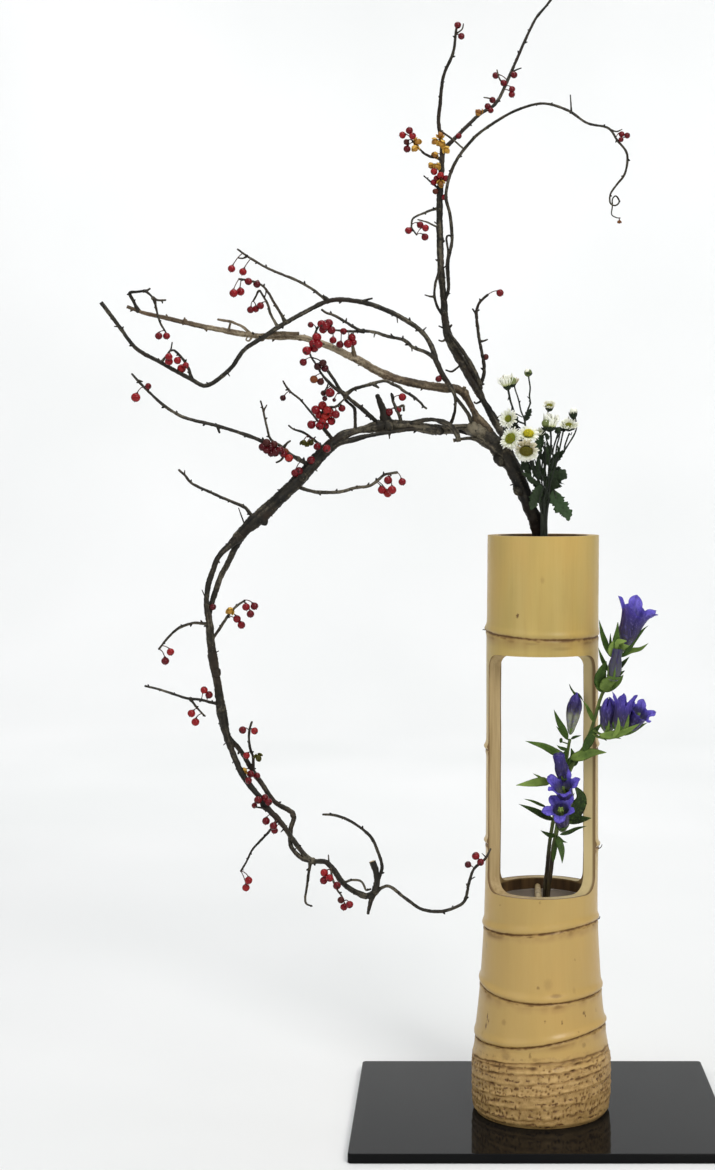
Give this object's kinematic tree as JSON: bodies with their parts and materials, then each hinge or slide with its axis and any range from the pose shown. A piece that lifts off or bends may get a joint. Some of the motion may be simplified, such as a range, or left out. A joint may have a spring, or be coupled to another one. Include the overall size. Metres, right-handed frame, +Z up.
{
  "type": "ikebana arrangement",
  "caption": "Ikebana arrangement of berried bittersweet vines, white spray chrysanthemums and blue gentians in a windowed bamboo vase on a black display board.",
  "frame": {"origin": "on the underside of the display board, straight below the vase's axis", "axes": "+Z up, +X to the viewer's right, +Y away from the viewer"},
  "size_m": [0.6012, 0.276, 1.1478],
  "materials": {
    "bamboo": "smooth dried bamboo, ochre with darker node lines and a pitted root end",
    "black_lacquer": "black lacquer, mirror polish",
    "water": "still water, clear grey",
    "peeled_stick": "peeled pale stick, matt",
    "dark_bark": "dark grey-brown vine bark, rough",
    "brown_bark": "lighter brown vine bark, rough",
    "red_berry": "waxy red berries and ochre husks on dark twigs",
    "white_petal": "soft white petals with a green-yellow centre",
    "dark_leaf": "dark green leaves and stems, matt",
    "violet_petal": "blue-violet petals, satin, with a pale green base",
    "green_leaf": "mid green leaves and stems, satin"
  },
  "bodies": {
    "root": {"bamboo_vase": "bamboo", "display_board": "black_lacquer", "lower_water": "water", "upper_water": "water", "lower_kubari": "peeled_stick", "upper_kubari": "peeled_stick", "vine_trunk_and_arch": "dark_bark", "vine_upright": "dark_bark", "vine_dark_cane": "dark_bark", "vine_left_shoot": "dark_bark", "vine_middle_cane": "dark_bark", "vine_hanging_shoot": "dark_bark", "vine_curled_tendril": "dark_bark", "vine_brown_cane": "brown_bark", "spray_arch_right": "red_berry", "spray_arch_top": "red_berry", "spray_arch_under": "red_berry", "spray_big_cluster": "red_berry", "spray_brown_tip": "red_berry", "spray_dark_fork": "red_berry", "spray_dark_fork_inner": "red_berry", "spray_dark_tip": "red_berry", "spray_fall_left_lower": "red_berry", "spray_fall_left_upper": "red_berry", "spray_fall_right": "red_berry", "spray_far_upper": "red_berry", "spray_grey_twig": "red_berry", "spray_leader_cluster": "red_berry", "spray_low_cluster": "red_berry", "spray_low_drop": "red_berry", "spray_low_husks": "red_berry", "spray_top_cluster": "red_berry", "spray_upper_middle": "red_berry", "spray_upright_twig": "red_berry", "mum_head_cream": "white_petal", "mum_head_open": "white_petal", "mum_head_right": "white_petal", "mum_head_side": "white_petal", "mum_head_small": "white_petal", "mum_head_top": "white_petal", "mum_head_white": "white_petal", "mum_head_yellow": "white_petal", "mum_leaf_front": "dark_leaf", "mum_leaf_lower": "dark_leaf", "mum_leaf_upper": "dark_leaf", "mum_stem_left": "dark_leaf", "mum_stem_middle": "dark_leaf", "mum_stem_right": "dark_leaf", "gentian_bud_grey": "violet_petal", "gentian_bud_left": "violet_petal", "gentian_bud_low": "violet_petal", "gentian_flower_front": "violet_petal", "gentian_flower_left": "violet_petal", "gentian_flower_low": "violet_petal", "gentian_flower_middle": "violet_petal", "gentian_flower_right": "violet_petal", "gentian_flower_top": "violet_petal", "gentian_stem_left": "green_leaf", "gentian_stem_right": "green_leaf"}
  },
  "joints": []
}
